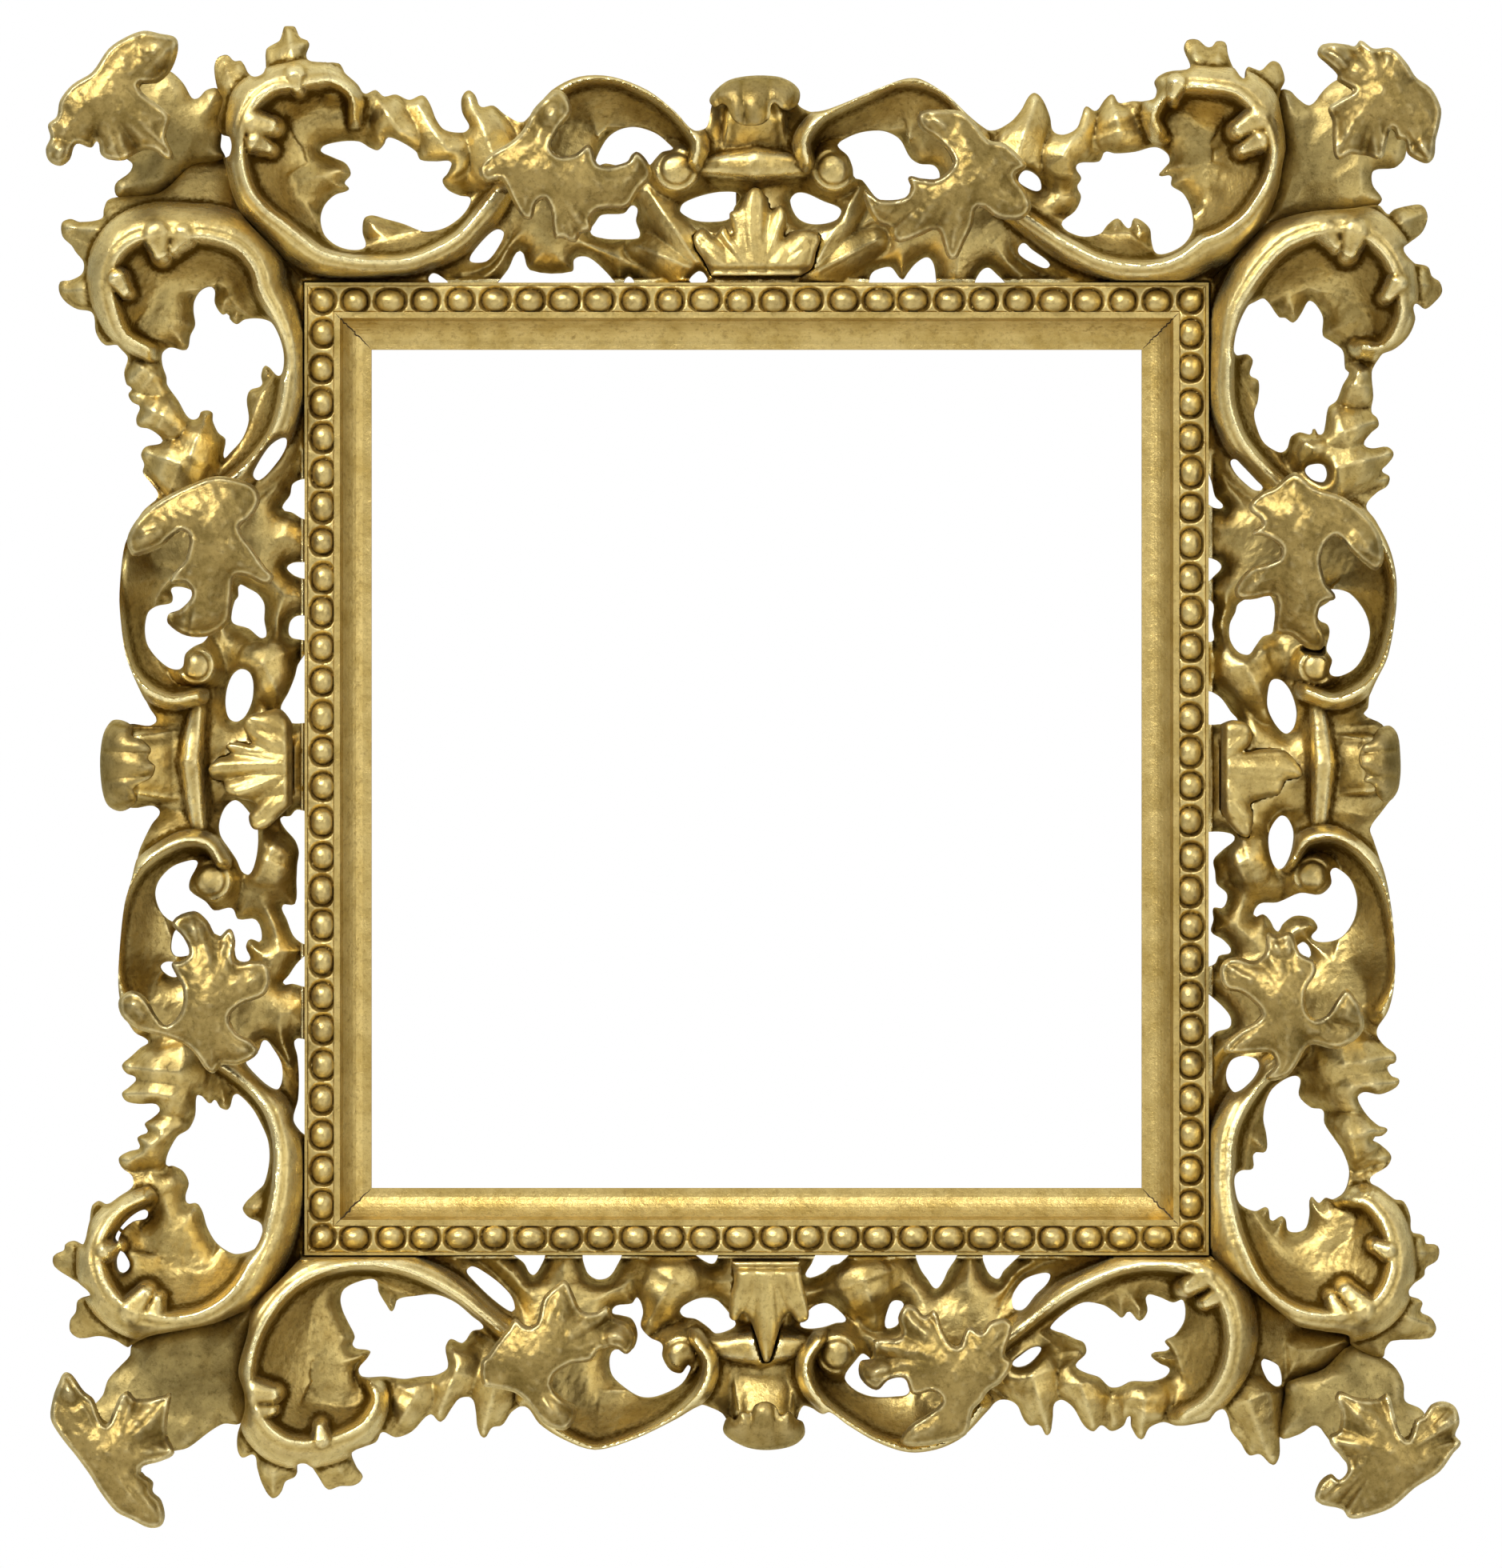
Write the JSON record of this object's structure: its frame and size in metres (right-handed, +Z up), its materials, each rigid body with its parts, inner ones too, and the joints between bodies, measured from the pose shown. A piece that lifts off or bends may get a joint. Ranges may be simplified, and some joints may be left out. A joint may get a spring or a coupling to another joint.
{
  "type": "picture frame",
  "caption": "Carved and pierced gilded picture frame in baroque style: mitred moulding with a bead course inside a wide border of scrolls, leaves, shells and palmettes.",
  "frame": {"origin": "centre of the hanger plate's eye, in the plane of the frame's back", "axes": "+X to the viewer's right, +Y back towards the wall along the eye, +Z up; the carved face looks along -Y"},
  "size_m": [0.4758, 0.0613, 0.5065],
  "materials": {
    "gilding": "worn burnished gold leaf on carved wood",
    "gilding_dark": "darkened rough gilding on wood",
    "bare_wood": "bare, planed",
    "brass": "aged, brushed",
    "steel": "plain"
  },
  "bodies": {
    "body": {"top_rail": "gilding", "right_rail": "gilding", "bottom_rail": "gilding", "left_rail": "gilding", "top_beads": "gilding", "right_beads": "gilding", "bottom_beads": "gilding", "left_beads": "gilding", "top_board": "gilding", "right_board": "gilding", "bottom_board": "gilding", "left_board": "gilding", "top_left_block": "gilding_dark", "top_right_block": "gilding_dark", "bottom_right_block": "gilding_dark", "bottom_left_block": "gilding_dark", "top_left_corner_leaf": "gilding", "top_right_corner_leaf": "gilding", "bottom_right_corner_leaf": "gilding", "bottom_left_corner_leaf": "gilding", "top_left_leaf": "gilding", "top_right_leaf": "gilding", "right_upper_leaf": "gilding", "right_lower_leaf": "gilding", "bottom_right_leaf": "gilding", "bottom_left_leaf": "gilding", "left_lower_leaf": "gilding", "left_upper_leaf": "gilding", "top_palmette": "gilding", "right_palmette": "gilding", "bottom_palmette": "gilding", "left_palmette": "gilding", "top_shell": "gilding", "right_shell": "gilding", "bottom_shell": "gilding", "left_shell": "gilding", "mitre_keys": "bare_wood", "hanger_plate": "brass", "hanger_screws": "steel", "button_screws": "steel"},
    "top_button": {"top_button": "brass"},
    "right_button": {"right_button": "brass"},
    "bottom_button": {"bottom_button": "brass"},
    "left_button": {"left_button": "brass"}
  },
  "joints": [
    {"name": "top_turn", "type": "hinge", "parent": "body", "child": "top_button", "pos_m": [0.07625, 0, -0.04844], "axis": [0, 1, 0], "continuous": true},
    {"name": "right_turn", "type": "hinge", "parent": "body", "child": "right_button", "pos_m": [0.14206, 0, -0.284], "axis": [0, 1, 0], "continuous": true},
    {"name": "bottom_turn", "type": "hinge", "parent": "body", "child": "bottom_button", "pos_m": [-0.07625, 0, -0.35556], "axis": [0, 1, 0], "continuous": true},
    {"name": "left_turn", "type": "hinge", "parent": "body", "child": "left_button", "pos_m": [-0.14206, 0, -0.12], "axis": [0, 1, 0], "continuous": true}
  ]
}
